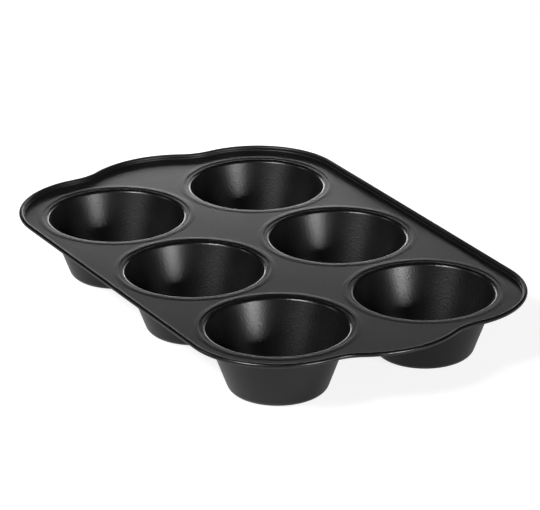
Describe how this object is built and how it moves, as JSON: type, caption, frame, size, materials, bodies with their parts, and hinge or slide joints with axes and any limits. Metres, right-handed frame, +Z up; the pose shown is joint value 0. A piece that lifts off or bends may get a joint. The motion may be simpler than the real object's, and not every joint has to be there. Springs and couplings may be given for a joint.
{
  "type": "muffin pan",
  "caption": "Flat rectangular baking pan with deep tapered round cups seamed into a pressed deck, a rolled wired rim and a rounded handle swelling at each short end.",
  "frame": {"origin": "middle of the pan in plan, on the surface that the bases of its cups stand on", "axes": "+X along the rows of three cups towards the right handle, +Y across the rows towards the back, +Z up out of the cups' mouths"},
  "size_m": [0.2912, 0.1836, 0.0355],
  "materials": {
    "coating": "satin black non-stick coating with a fine grain",
    "wire": "bare drawn steel wire, hidden inside the rolled rim"
  },
  "bodies": {
    "root": {"deck": "coating", "rim_wire": "wire", "cup_front_left": "coating", "cup_front_middle": "coating", "cup_front_right": "coating", "cup_back_left": "coating", "cup_back_middle": "coating", "cup_back_right": "coating"}
  },
  "joints": []
}
